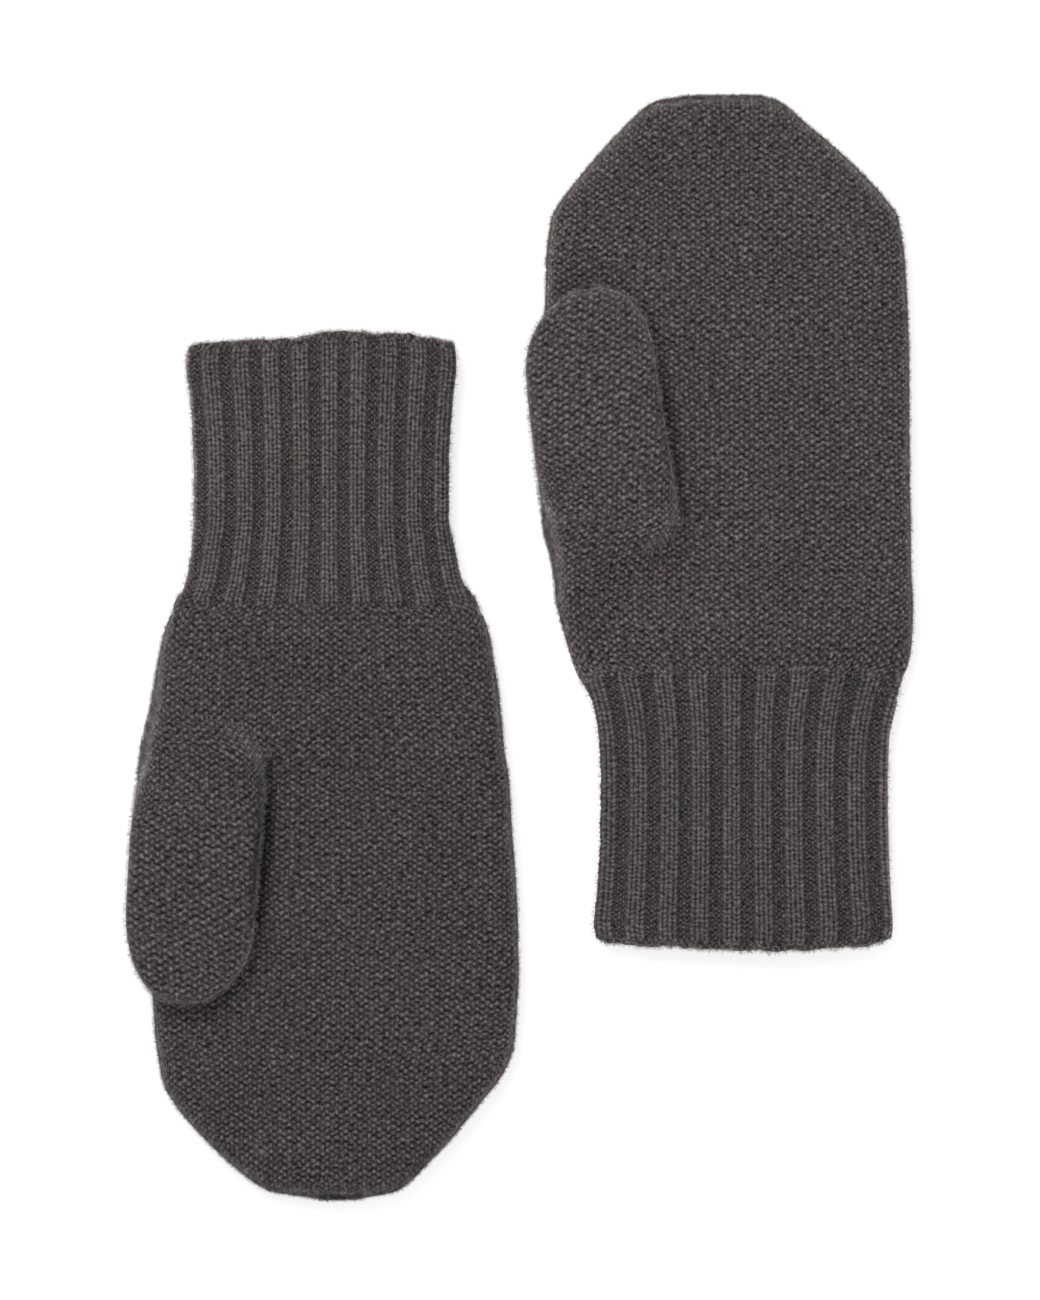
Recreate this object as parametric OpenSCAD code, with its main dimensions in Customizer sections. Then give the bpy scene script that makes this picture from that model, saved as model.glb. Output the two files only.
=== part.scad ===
// Pair of knitted mittens, laid flat with the palm sides up.
// Each mitten is drawn in its own frame and then put in its place in the pair:
// y runs from the cuff's opening to the fingertips, the thumb is at -x, the palm faces +z.

/* [Mittens] */
// Length from the cuff's opening to the fingertips
mitten_l = 268; // [262:1:276]
// Width of the hand, laid flat
hand_w = 112; // [106:1:118]
// Thickness of the hand where its two layers lie over each other
hand_t = 14; // [13:0.5:16]
// Thickness of the knitted fabric
fabric_t = 2.2; // [1.8:0.1:2.4]
// Width that is left at the very tip of the fingers
tip_w = 40; // [36:1:46]
// Gap between the two mittens where they come nearest
pair_gap = 5; // [2:1:12]
// How far the right mitten lies below the left one, measured at the fingertips
pair_shift = 80; // [0:5:110]

/* [Cuffs] */
// Length of the ribbed cuff
cuff_l = 83.5; // [80:0.5:86]
// Thickness of the cuff, laid flat
cuff_t = 13; // [12:0.5:14]
// Number of ribs round the cuff
rib_count = 18; // [16:2:20]
// Depth of the valleys between the ribs
rib_depth = 0.9; // [0.4:0.1:1.1]
// Width of the left cuff at its waist
left_waist_w = 88; // [84:0.5:92]
// Width of the right cuff at its waist
right_waist_w = 80; // [76:0.5:84]
// How much wider a cuff is at its opening than at its waist
mouth_flare = 5; // [2:0.5:6]

/* [Thumbs] */
// Width of the thumb at its base
thumb_w = 43; // [40:0.5:44]
// Thickness of the thumb
thumb_t = 10; // [9.5:0.5:11]
// Distance from the cuff's opening to the angle between thumb and palm
crotch_y = 133; // [131:1:135]
// Free length of the thumb
thumb_l = 74; // [70:1:75]
// Distance of the thumb's centre line from the hand's, at the thumb's base
thumb_off = 40; // [38:0.5:41]

/* [Fold lines] */
// Distance from the cuff's opening to the fold at the finger joints
fold_y = 213; // [212:1:216]
// Gap between pieces that move against each other
move_gap = 0.4; // [0.3:0.1:0.5]

/* [Hidden] */
LEFT = 0;
RIGHT = 1;
SIDES = [LEFT, RIGHT];
SIDE_NAMES = ["left_", "right_"];
PIECES = [
    "cuff", "cuff_seam", "cast_on_edge", "yarn_tail",
    "palm_panel", "back_panel", "index_side_seam", "little_side_seam", "crotch_stitch",
    "finger_front_panel", "finger_back_panel", "fingertip_seam",
    "thumb", "thumb_seam", "thumb_tip_closure"
];

// Colours of the knitted fabric and of the yarn in seams and edges
wool = [0.28, 0.262, 0.258];
yarn = [0.22, 0.205, 0.20];

waist_w = [left_waist_w, right_waist_w];
// Sideways drift of each hand, in millimetres per millimetre beyond the cuff
lean = [-0.042, 0.030];
// The fingertips start to narrow here, and round off over this length at the end
taper_y = mitten_l - 38;
tip_round = 15;
// Height of the side seams above the table, and thickness of the yarn in them
seam_z = 6;
seam_t = 0.8;
// The seam yarn lies this far in from the panels' rims
seam_inset = 0.2;
// Height of the middle of the thumb, whose underside is just clear of the palm
thumb_z = hand_t + move_gap + thumb_t / 2;
// Sideways bend of the thumb from its base to its tip
thumb_bend = -5.4;
// The gusset grows out of the palm over this length, below the thumb
gusset_l = 38;
// Width of the cast-on edge
edge_l = 2.4;
// Radius and length of the yarn end that is darned into the cuff
tail_r = 0.9;
tail_l = 34;
// Distance of that yarn end from the cuff's side
tail_in = 14;
// Strands of the reinforcing stitch
strand_r = 0.4;
strand_l = 3.4;
// Points across one layer of the hand, points per rib, points round the thumb
hand_n = 24;
rib_n = 4;
thumb_n = 32;

// Smooth value between the points of a short list of [y, value] pairs
function slope(p, i) =
    let (a = max(i - 1, 0), b = min(i + 1, len(p) - 1)) (p[b][1] - p[a][1]) / (p[b][0] - p[a][0]);
function segment(p, y, i = 0) = i >= len(p) - 2 || y <= p[i + 1][0] ? i : segment(p, y, i + 1);
function between(p, i, y) =
    let (h = p[i + 1][0] - p[i][0], t = min(max((y - p[i][0]) / h, 0), 1))
    (2 * t^3 - 3 * t^2 + 1) * p[i][1] + (t^3 - 2 * t^2 + t) * h * slope(p, i)
    + (3 * t^2 - 2 * t^3) * p[i + 1][1] + (t^3 - t^2) * h * slope(p, i + 1);
function curve(p, y) = between(p, segment(p, y), y);

// Rise of a rounded edge: 0 at the rim, 1 once the distance reaches the radius
function rounded(t) = t >= 1 ? 1 : t <= 0 ? 0 : sqrt(1 - (1 - t)^2);
function power(v, e) = sign(v) * pow(abs(v), e);

// One layer of a flat-lying tube in the plane y, from its right rim to its left one:
// z0 is the height of the rims, z1 that of the middle, and nothing goes below floor_z
function layer(x, y, hw, z0, z1, floor_z, n) =
    [for (i = [0 : n])
        let (a = 180 * i / n, extra = z1 < z0 ? 1.2 : 0)
        [x + hw * power(cos(a), 0.8), y, max(floor_z, z0 + (z1 - z0 - extra) * power(sin(a), 0.62))]];
function reversed(p) = [for (i = [len(p) - 1 : -1 : 0]) p[i]];

// Faces between ring j and ring j + 1 of n points, for points that start at number first
function strip(first, n, j, turns, closed) =
    [for (i = [0 : n - (closed ? 1 : 2)])
        let (a = first + j * n + i, b = first + j * n + (i + 1) % n)
        each turns ? [[a, b + n, b], [a, a + n, b + n]] : [[a, b, b + n], [a, b + n, a + n]]];

// A closed solid through a list of rings with the same number of points
module loft(rings) {
    n = len(rings[0]);
    last = len(rings) - 1;
    sides = [for (j = [0 : last - 1]) each strip(0, n, j, false, true)];
    ends = [reversed([for (i = [0 : n - 1]) i]), [for (i = [0 : n - 1]) last * n + i]];
    polyhedron([for (ring = rings) each ring], concat(sides, ends), convexity = 6);
}

// Fabric between a list of outer rings and one of inner rings, round or with two long rims
module fabric(outer, inner, closed) {
    n = len(outer[0]);
    m = len(outer);
    inside = m * n;
    faces = concat(
        [for (j = [0 : m - 2]) each strip(0, n, j, false, closed)],
        [for (j = [0 : m - 2]) each strip(inside, n, j, true, closed)],
        [for (i = [0 : n - (closed ? 1 : 2)])
            let (a = i, b = (i + 1) % n, up = (m - 1) * n)
            each [[a, a + inside, b + inside], [a, b + inside, b],
                  [a + up, b + up, b + up + inside], [a + up, b + up + inside, a + up + inside]]],
        closed ? [] : [for (j = [0 : m - 2])
            let (a = j * n, b = a + n, c = a + n - 1, d = c + n)
            each [[a, b, b + inside], [a, b + inside, a + inside],
                  [c, d + inside, d], [c, c + inside, d + inside]]]);
    polyhedron([for (ring = concat(outer, inner)) each ring], faces, convexity = 6);
}

// Outline of the hand: centre line and half width at a distance y from the cuff's opening
function hand_x(side, y) = lean[side] * max(y - cuff_l, 0);
function hand_hw(y) =
    y > taper_y
    ? curve([[taper_y, hand_w / 2 - 1], [taper_y + 8, hand_w / 2 - 7.5],
             [mitten_l - 3, tip_w / 2 + 2.5], [mitten_l, tip_w / 2 - 2]], y)
    : curve([[cuff_l, hand_w / 2 - 7], [cuff_l + 8, hand_w / 2 - 3.2], [cuff_l + 30, hand_w / 2 - 0.8],
             [cuff_l + 90, hand_w / 2 + 0.6], [taper_y, hand_w / 2 - 1]], y);

// The inside follows the outside a fabric's thickness in, also at the fingertips
function inset_y(y, inset) = y - inset * max(0, (y - taper_y) / (mitten_l - taper_y));

PALM_YS = [cuff_l + move_gap / 2, cuff_l + 4, cuff_l + 12, cuff_l + 28, cuff_l + 60, cuff_l + 100,
           fold_y - move_gap / 2];
FINGER_YS = [fold_y + move_gap / 2, taper_y, taper_y + 8, mitten_l - tip_round, mitten_l - 8,
             mitten_l - 3, mitten_l - 0.7, mitten_l];

// One layer of the hand between two rims at z0; z1 is the height of its middle
function hand_layer(side, y, inset, z0, z1, floor_z) =
    let (rise = rounded((mitten_l - y) / tip_round), middle = z1 + (z1 > z0 ? -inset : inset))
    layer(hand_x(side, y), inset_y(y, inset), hand_hw(y) - inset, z0, z0 + (middle - z0) * rise,
          rise == 0 ? z0 : floor_z + inset, hand_n);

module front_layer(side, ys) {
    z0 = seam_z + seam_t / 2;
    fabric([for (y = ys) hand_layer(side, y, 0, z0, hand_t, 0)],
           [for (y = ys) hand_layer(side, y, fabric_t, z0, hand_t, 0)], false);
}

module back_layer(side, ys) {
    z0 = seam_z - seam_t / 2;
    fabric([for (y = ys) reversed(hand_layer(side, y, 0, z0, 0, 0))],
           [for (y = ys) reversed(hand_layer(side, y, fabric_t, z0, 0, 0))], false);
}

// The gusset's form: it starts inside the palm and rises to meet the thumb's base
function gusset_ring(side, t, inset) =
    let (y = crotch_y - move_gap / 2 - gusset_l * (1 - t),
         rise = t * t * (3 - 2 * t),
         x = hand_x(side, y) - thumb_off + 8 * (1 - rise),
         hw = (thumb_w / 2 - inset) * (0.55 + 0.45 * rise),
         mid = seam_z + (thumb_z - seam_z) * rise)
    flat_ring(x, y + (t == 1 ? inset * 0.1 : 0), hw, mid, thumb_t / 2 - inset);

// A whole ring, two layers high, round a middle height
function flat_ring(x, y, hw, mid, half) =
    [for (i = [0 : thumb_n - 1])
        let (a = 360 * i / thumb_n)
        [x + hw * power(cos(a), 0.8), y, mid + half * power(sin(a), 0.62)]];

module gusset_form(side, inset) {
    loft([for (t = [0, 0.3, 0.5, 0.7, 0.85, 1]) gusset_ring(side, t, inset)]);
}

module palm_panel(side) {
    under = hand_t - fabric_t + 0.1;
    color(wool) difference() {
        union() {
            front_layer(side, PALM_YS);
            intersection() {
                gusset_form(side, 0);
                translate([-hand_w, 0, under]) cube([2 * hand_w, crotch_y, hand_t]);
            }
        }
        gusset_form(side, fabric_t);
    }
}

module back_panel(side) {
    color(wool) back_layer(side, PALM_YS);
}

module finger_front_panel(side) {
    color(wool) front_layer(side, FINGER_YS);
}

module finger_back_panel(side) {
    color(wool) back_layer(side, FINGER_YS);
}

// Edge of the hand at the height of the seams, on the right (1) or the left (-1)
function hand_edge(side, hand, ys, inset) =
    [for (y = ys) [hand_x(side, y) + hand * (hand_hw(y) - inset), inset_y(y, inset)]];

// Seam yarn between the rims of the two panels, down one side of the palm
module palm_seam(side, hand) {
    outer = hand_edge(side, hand, PALM_YS, seam_inset);
    inner = hand_edge(side, hand, PALM_YS, fabric_t - seam_inset);
    translate([0, 0, seam_z - seam_t / 2]) linear_extrude(seam_t) polygon(concat(outer, reversed(inner)));
}

module index_side_seam(side) {
    color(yarn) palm_seam(side, -1);
}

module little_side_seam(side) {
    color(yarn) palm_seam(side, 1);
}

module fingertip_seam(side) {
    inner_in = fabric_t - seam_inset;
    outer = concat(hand_edge(side, 1, FINGER_YS, seam_inset),
                   reversed(hand_edge(side, -1, FINGER_YS, seam_inset)));
    inner = concat(hand_edge(side, -1, FINGER_YS, inner_in),
                   reversed(hand_edge(side, 1, FINGER_YS, inner_in)));
    color(yarn) translate([0, 0, seam_z - seam_t / 2]) linear_extrude(seam_t) polygon(concat(outer, inner));
}

// The cuff: its half width along its length, and its ring, open at the seam on the right
function cuff_hw(side, y) =
    curve([[0, waist_w[side] / 2 + mouth_flare / 2 - 1.6], [5, waist_w[side] / 2 + mouth_flare / 2],
           [36, waist_w[side] / 2], [62, waist_w[side] / 2 + 0.6],
           [74, waist_w[side] / 2 + 2.2], [cuff_l, hand_w / 2 - 7]], y);
CUFF_YS = [edge_l, 5, 20, 36, 62, 74, cuff_l - move_gap / 2];
cuff_n = rib_count * rib_n / 2;
function ribbed(p, depth) =
    [for (i = [0 : len(p) - 1])
        let (sunk = depth * (0.5 - 0.5 * cos(360 * i / rib_n)),
             z = p[i][2] > seam_z ? p[i][2] - sunk : max(p[i][2] + sunk, 0))
        [p[i][0], p[i][1], i < 2 || i > len(p) - 3 ? p[i][2] : z]];
function cuff_ring(side, y, inset, depth, n = cuff_n) =
    let (hw = cuff_hw(side, y) - inset)
    concat(ribbed(layer(0, y, hw, seam_z + seam_t / 2, cuff_t - inset, 0, n), depth),
           ribbed(reversed(layer(0, y, hw, seam_z - seam_t / 2, inset, inset, n)), depth));

module cuff(side) {
    color(wool) fabric([for (y = CUFF_YS) cuff_ring(side, y, 0, rib_depth)],
                       [for (y = CUFF_YS) cuff_ring(side, y, fabric_t + 0.3, 0)], false);
}

module cuff_seam(side) {
    outer = [for (y = CUFF_YS) [cuff_hw(side, y) - seam_inset, y]];
    inner = [for (y = CUFF_YS) [cuff_hw(side, y) - fabric_t, y]];
    color(yarn) translate([0, 0, seam_z - seam_t / 2]) linear_extrude(seam_t)
        polygon(concat(outer, reversed(inner)));
}

module cast_on_edge(side) {
    ys = [0, 0.7, edge_l];
    color(yarn) fabric([for (y = ys) cuff_ring(side, y, y == 0 ? 0.5 : 0, 0, hand_n)],
                       [for (y = ys) cuff_ring(side, y, fabric_t, 0, hand_n)], true);
}

module yarn_tail(side) {
    color(yarn) translate([waist_w[side] / 2 - tail_in, 10, fabric_t + 0.4 + tail_r])
        rotate([-90, 0, 0]) cylinder(r = tail_r, h = tail_l, $fn = 24);
}

// The thumb: a flat tube on the palm, closed and rounded at its tip
THUMB_STEPS = [0, 0.16, 0.36, 0.56, 0.72, 0.84, 0.92, 0.965, 0.99, 1];
function thumb_y(t) = crotch_y + move_gap / 2 + t * thumb_l;
function thumb_x(side, t) = hand_x(side, thumb_y(t)) - thumb_off + thumb_bend * t * t;
function thumb_hw(t) =
    (thumb_w / 2 - 0.5 * t - 1.5 * t^2) * (t < 0.68 ? 1 : rounded((1.02 - t) / 0.34));
function thumb_ring(side, t, inset) =
    let (half = thumb_t / 2 * (t < 0.8 ? 1 : rounded((1.03 - t) / 0.23)) - inset,
         y = thumb_y(t) - t * inset - (t == 0 ? inset * 0.1 : 0))
    flat_ring(thumb_x(side, t), y, max(thumb_hw(t) - inset, 0.6), thumb_z, max(half, 0.3));

module thumb_form(side, inset) {
    loft([for (t = THUMB_STEPS) thumb_ring(side, t, inset)]);
}

// The slot down the thumb's inner edge, and the yarn that fills it
module thumb_edge_strip(side, reach) {
    steps = [0, 0.36, 0.56, 0.72];
    outer = [for (t = steps) [thumb_x(side, t) + thumb_hw(t) + reach, thumb_y(t)]];
    inner = [for (t = steps) [thumb_x(side, t) + thumb_hw(t) - fabric_t + 0.3, thumb_y(t)]];
    translate([0, 0, thumb_z - seam_t / 2]) linear_extrude(seam_t) polygon(concat(outer, reversed(inner)));
}

module thumb_tip_plug(side, r, h) {
    translate([thumb_x(side, 1), thumb_y(1) - h - 0.1, thumb_z])
        rotate([-90, 0, 0]) cylinder(r = r, h = h, $fn = 32);
}

module thumb(side) {
    color(wool) difference() {
        thumb_form(side, 0);
        thumb_form(side, fabric_t);
        thumb_edge_strip(side, 1);
        thumb_tip_plug(side, 1.5, 4);
    }
}

module thumb_seam(side) {
    color(yarn) thumb_edge_strip(side, -seam_inset);
}

module thumb_tip_closure(side) {
    color(yarn) thumb_tip_plug(side, 1.45, 3);
}

module crotch_stitch(side) {
    x = hand_x(side, crotch_y) - thumb_off + thumb_w / 2 + 2;
    color(yarn) for (k = [-1, 0, 1])
        translate([x + k * 2.5 * strand_r, crotch_y - strand_l, hand_t + strand_r])
            rotate([-90, 0, 0]) cylinder(r = strand_r, h = strand_l, $fn = 16);
}

// How far each mitten reaches from its centre line, to the thumb's side and to the other side
function thumb_reach(side) = max([for (t = THUMB_STEPS) thumb_hw(t) - thumb_x(side, t)]);
function hand_reach(side) =
    max([for (y = concat(PALM_YS, FINGER_YS)) hand_x(side, y) + hand_hw(y)]);
pair_w = thumb_reach(RIGHT) + hand_reach(RIGHT) + pair_gap + thumb_reach(LEFT) + hand_reach(LEFT);
pair_l = mitten_l + pair_shift;

// Puts one mitten in its place in the pair; the right one points the other way
module place(side) {
    if (side == LEFT) translate([pair_w / 2 - hand_reach(LEFT), pair_l / 2 - mitten_l, 0]) children();
    else translate([thumb_reach(RIGHT) - pair_w / 2, mitten_l - pair_l / 2, 0]) mirror([0, 1, 0]) children();
}

for (side = SIDES) {
    name = SIDE_NAMES[side];
    place(side) cuff(side);
    place(side) cuff_seam(side);
    place(side) cast_on_edge(side);
    place(side) yarn_tail(side);
    place(side) palm_panel(side);
    place(side) back_panel(side);
    place(side) index_side_seam(side);
    place(side) little_side_seam(side);
    place(side) crotch_stitch(side);
    place(side) finger_front_panel(side);
    place(side) finger_back_panel(side);
    place(side) fingertip_seam(side);
    place(side) thumb(side);
    place(side) thumb_seam(side);
    place(side) thumb_tip_closure(side);
}
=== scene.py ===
"""Looks of a pair of knitted mittens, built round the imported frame.

Each mitten is worked out in its own frame, in millimetres: y runs from the cuff's opening to the
fingertips, the thumb is at -x and the palm faces +z. A knitted surface is a smooth form with a grid of
points on it. Each point also knows its place in the fabric, in wales across and courses along, and is
lifted by the height of the yarn there; the material reads the same two numbers.
"""

import math

import bpy
import numpy as np
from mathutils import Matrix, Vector


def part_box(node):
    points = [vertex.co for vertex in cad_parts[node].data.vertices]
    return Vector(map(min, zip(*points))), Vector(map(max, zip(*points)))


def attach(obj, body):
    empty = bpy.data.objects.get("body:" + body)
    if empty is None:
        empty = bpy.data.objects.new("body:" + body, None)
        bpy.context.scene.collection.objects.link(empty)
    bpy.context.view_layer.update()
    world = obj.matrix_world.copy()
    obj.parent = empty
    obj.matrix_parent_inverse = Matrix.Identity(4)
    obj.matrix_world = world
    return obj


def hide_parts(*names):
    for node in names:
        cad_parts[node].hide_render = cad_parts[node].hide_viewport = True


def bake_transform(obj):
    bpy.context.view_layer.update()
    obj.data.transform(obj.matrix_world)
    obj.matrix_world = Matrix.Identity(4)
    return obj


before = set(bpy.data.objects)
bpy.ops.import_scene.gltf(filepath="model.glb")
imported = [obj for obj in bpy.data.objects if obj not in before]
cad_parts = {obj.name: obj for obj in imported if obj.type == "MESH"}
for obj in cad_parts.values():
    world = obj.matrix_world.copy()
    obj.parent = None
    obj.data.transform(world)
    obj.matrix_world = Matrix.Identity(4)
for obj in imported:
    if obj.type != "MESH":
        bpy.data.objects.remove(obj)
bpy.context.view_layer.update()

MM = 0.001
SEAM_Z = 6.0  # height of the side seams over the table
BACK_Z = 0.7  # height of the back's fabric over the table
FABRIC_T = 2.0  # thickness of the knitted fabric
RIB_T = 2.4  # thickness of the ribbed fabric
WALE = 3.08  # width of a stitch on the hand
COURSE = 2.06  # height of a stitch on the hand
THUMB_WALE = 3.5
THUMB_COURSE = 2.2
RIB_COURSE = 1.5
PALM_WALES = 42
BACK_WALES = 38
THUMB_WALES = 27  # all the way round
RIBS = 18
WALES_PER_RIB = 4  # two knit and two purl
CUFF_WALES = RIBS * WALES_PER_RIB
STEPS_W = 6  # grid steps across a stitch
STEPS_C = 4  # grid steps along a stitch
RELIEF = 1.3  # from the deepest to the highest point of a stitch on the hand
RIB_RELIEF = 0.85
BAND_RELIEF = 0.7  # the same on the opening's edge
LINING_RELIEF = 0.5  # how strong the stitches look on the lining, and its tone
LINING_TONE = 0.8
MEAN_HEIGHT = 0.6  # the stitch height, from 0 to 1, that lies on the smooth form
PURL_IN_RIB = 0.85  # how high the purl stitches between the ribs are, beside the others
RIM_PAINTED_SHEEN = 5.0  # painted sheen: how fast the fabric is painted paler where it turns edge-on
# the most painted sheen, as a share of the fabric's colour
RIM_PAINTED_SHEEN_MOST = 1.5
THUMB_FLOOR = 6.0  # where the thumb's base runs down into the palm
THUMB_LEAN = {"left": 9, "right": 6}  # how far the thumb's courses slant over its palm, in degrees


# ---- small maths

def smooth(t):
    t = np.clip(t, 0.0, 1.0)
    return t * t * (3 - 2 * t)


def rounded(t):
    t = np.clip(t, 0.0, 1.0)
    return np.sqrt(np.maximum(0.0, 1 - (1 - t) ** 2))


def curve(points, y):
    """Smooth value between [y, value] pairs, that never swings past them."""
    ys, vs = np.array(points, float).T
    step = np.diff(vs) / np.diff(ys)
    product, total = step[:-1] * step[1:], step[:-1] + step[1:]
    inner = np.where(product > 0, 2 * product / (total + 1e-12), 0)
    slopes = np.concatenate([step[:1], inner, step[-1:]])
    i = np.clip(np.searchsorted(ys, y, side="right") - 1, 0, len(ys) - 2)
    h = ys[i + 1] - ys[i]
    t = np.clip((y - ys[i]) / h, 0, 1)
    return ((2 * t**3 - 3 * t**2 + 1) * vs[i] + (t**3 - 2 * t**2 + t) * h * slopes[i]
            + (3 * t**2 - 2 * t**3) * vs[i + 1] + (t**3 - t**2) * h * slopes[i + 1])


def running(steps):
    """Distance to each point of a line, from the steps between the points."""
    return np.concatenate([[0], np.cumsum(steps)])


def run_of(x, z):
    return running(np.hypot(np.diff(x), np.diff(z)))


def run_along(path):
    return running(np.linalg.norm(np.diff(path, axis=0), axis=1))


def unit(v):
    """Vectors scaled to the length 1."""
    return v / np.maximum(np.linalg.norm(v, axis=-1, keepdims=True), 1e-9)


def stack(*parts):
    """Points from their coordinates, each of them an array or one number."""
    return np.stack(np.broadcast_arrays(*parts), axis=-1)


def soft_noise(a, b, seed):
    """Smooth random values from -1 to 1 over two coordinates, one cell per unit."""
    table = np.random.default_rng(seed).uniform(-1, 1, (128, 128))
    ia, ib = np.floor(a).astype(int), np.floor(b).astype(int)
    fa, fb = smooth(a - ia), smooth(b - ib)
    low, high = (table[ia % 128, b % 128] * (1 - fa) + table[(ia + 1) % 128, b % 128] * fa
                 for b in (ib, ib + 1))
    return low * (1 - fb) + high * fb


# ---- the knitted structure

def apart(x):
    """0 at a whole number and 1 half way between two."""
    return np.abs(x - np.round(x)) * 2


WAVE = 0.25  # how far a course's yarn swings up into heads and down into feet, in courses
DIP = 0.52  # how deep the yarn dips between a head and a foot
JOIN = 0.88  # how much shallower the gap between two courses is beside a dip


def purl_height(w, c):
    """The purl face: each course is a wavy yarn, plump at its heads and feet, 0 to 1."""
    turn = 2 * np.pi * w
    away = apart(c - WAVE * np.cos(turn))
    dip = np.sin(turn) ** 2
    return np.clip(1 - away**1.7 * (1 - JOIN * dip) - DIP * dip, 0, 1)


def plump(w, c, seed):
    """Loops differ in fullness: a factor round 1."""
    return 1 + 0.3 * soft_noise(w * 1.7, c * 1.9, seed + 7) + 0.18 * soft_noise(w * 0.5, c * 0.6, seed + 8)


def knit_height(w, c):
    """The knit face: two slanting legs to a stitch."""
    a = apart(2 * w + 0.5)
    slant = c + 0.45 * apart(w)
    return np.clip(1 - 0.6 * a**2 - 0.36 * apart(slant) ** 2, 0, 1)


def uneven(w, c, seed):
    """Wale and course after the small unevenness of real stitches."""
    w2 = w + 0.12 * soft_noise(w * 1.6, c * 1.4, seed) + 0.16 * soft_noise(w * 0.21, c * 0.11, seed + 1)
    c2 = c + 0.14 * soft_noise(w * 1.4, c * 1.2, seed + 2) + 0.3 * soft_noise(w * 0.11, c * 0.16, seed + 3)
    return w2, c2


# ---- one mitten's place and measures

OUTLINES = {  # the hand's two sides: [y, x]
    "left": {
        "index": [(80, -48.6), (83.5, -50.2), (88, -52.2), (93, -53.8), (107, -57.3), (121, -59.4),
          (133, -61.9), (142, -61.9), (160, -61.9), (190, -61.7), (216, -61.1), (224, -60.4), (229, -59.6),
          (232, -58), (244, -48.9), (253.6, -40.4), (261, -33.4), (264.3, -29.6), (265.8, -26.4),
          (267.1, -19.5), (267.9, -12)],
        "little": [(80, 48.4), (83.5, 49.7), (88, 52), (93, 53), (107, 53.5), (121, 53.2), (135, 52.9),
          (164, 52.6), (192, 52.3), (216, 51.3), (225, 49.9), (229.5, 49), (232, 47.5), (244, 36.7),
          (253.6, 26.4), (261, 17.3), (264.5, 13.2), (265.9, 10.8), (267.1, 7.2), (267.9, 1)],
    },
    "right": {
        "index": [(76, -44.4), (80, -46.6), (83.5, -47.4), (88, -49.2), (100, -51.8), (114, -54.2),
          (128.5, -57), (138, -57.4), (157, -56.6), (176, -55.4), (195, -54), (204, -53.2), (218, -52.2),
          (228, -50.8), (233, -49), (238, -46), (247, -38.4), (256, -29.2), (262, -21.8), (264.4, -17.6),
          (265.4, -14.4), (266.7, -5), (267.9, 3)],
        "little": [(76, 46.6), (80, 48.6), (83.5, 49.8), (88, 51.4), (100, 53.6), (114, 55.5), (128.5, 57.1),
          (138, 58.2), (157, 59.5), (176, 60.7), (195, 61.3), (204, 61), (218, 60), (224, 58.4), (229, 55.8),
          (237, 49.6), (247, 41.4), (256, 32.8), (262.5, 26.4), (264.6, 23.4), (265.6, 20.4), (266.8, 14),
          (267.9, 8)],
    },
}
# In THUMBS, tone is painted light over the mitten's whole hand and thumb: the left mitten, where the light
# falls more strongly, is painted paler than the right. crease sets both the fold's depth and the strength of
# its painted shade.
THUMBS = {  # middle line and half width of the thumb: [y, x], its round tip's length, its angle's y and x
    "left": {
        "middle": [(120, -40.2), (133, -40.8), (156, -44.2), (178, -47.2), (194, -48.4), (208, -48.4)],
        "half": [(120, 21), (133, 21.5), (156, 21.1), (178, 20.6), (208, 20.2)],
        "tip": 26, "end": 206.8, "crease": 0.9, "tone": 1.09, "crotch": 132.8, "angle": -21.4,
    },
    "right": {
        "middle": [(120, -37.3), (133, -37.9), (157, -40), (176, -41.3), (188, -42), (206, -44.6)],
        "half": [(120, 19.5), (133, 20), (157, 20.5), (176, 20.3), (208, 20.2)],
        "tip": 28, "end": 205.9, "crease": 1.7, "tone": 0.97, "crotch": 127.5, "angle": -16.9,
    },
}
# In CUFFS, tone is painted light: the right cuff, where the light falls more strongly, is painted paler than
# the left.
CUFFS = {  # the cuff's two sides: [y, x], where its middle rib stands, and its uneven opening: [x, y]
    "left": {
        "index": [(-1, -43.6), (2, -45.6), (6, -46.2), (16, -45.2), (36, -43.9), (52, -43.8), (65, -44.5),
          (74, -45.8), (79, -47.3), (84, -49.6), (88, -51.6)],
        "little": [(-1, 43.6), (2, 45.6), (6, 46.2), (16, 45.6), (36, 44.8), (52, 44.6), (65, 45.1),
          (74, 46.9), (79, 48.2), (84, 49.6), (88, 51.4)],
        "mouth": [(-46, 1.8), (-43, 1.3), (-28, 0.3), (-9, -0.7), (6, -1.2), (25, -0.7), (40, 0.3),
          (45, 1.4)],
        "rib": -3.1, "end": 86.8, "tone": 0.91, "corner": 3.4,
    },
    "right": {
        "index": [(-1, -40), (2, -41.8), (6, -42.3), (16, -41.2), (36, -39.9), (52, -39.7), (62, -40.6),
          (72, -42.4), (76.5, -43.5), (81, -46.6), (84, -47.4), (88, -49)],
        "little": [(-1, 40), (2, 41.8), (6, 42.3), (16, 41.3), (36, 39.9), (52, 39.9), (62, 41.7),
          (72, 43.9), (76.5, 45.8), (81, 48.2), (84, 49.6), (88, 51)],
        "mouth": [(-43, -0.8), (-38, -1.7), (-31, -2.2), (-14, -2.7), (-6, -3.5), (-2, -4.7), (4, -5.1),
          (20, -4.7), (35, -3.2), (41, -1.8)],
        "rib": 2.1, "end": 81, "tone": 0.96, "corner": 2.6,
    },
}
LENGTH = 268.0  # from the opening to the fingertips, in the tables above
TIP_Y = 267.3  # where the yarn's middle ends there
CUFF_L = 83.5
CROTCH_Y = 133.2
FOLD_Y = 213.0


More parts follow.
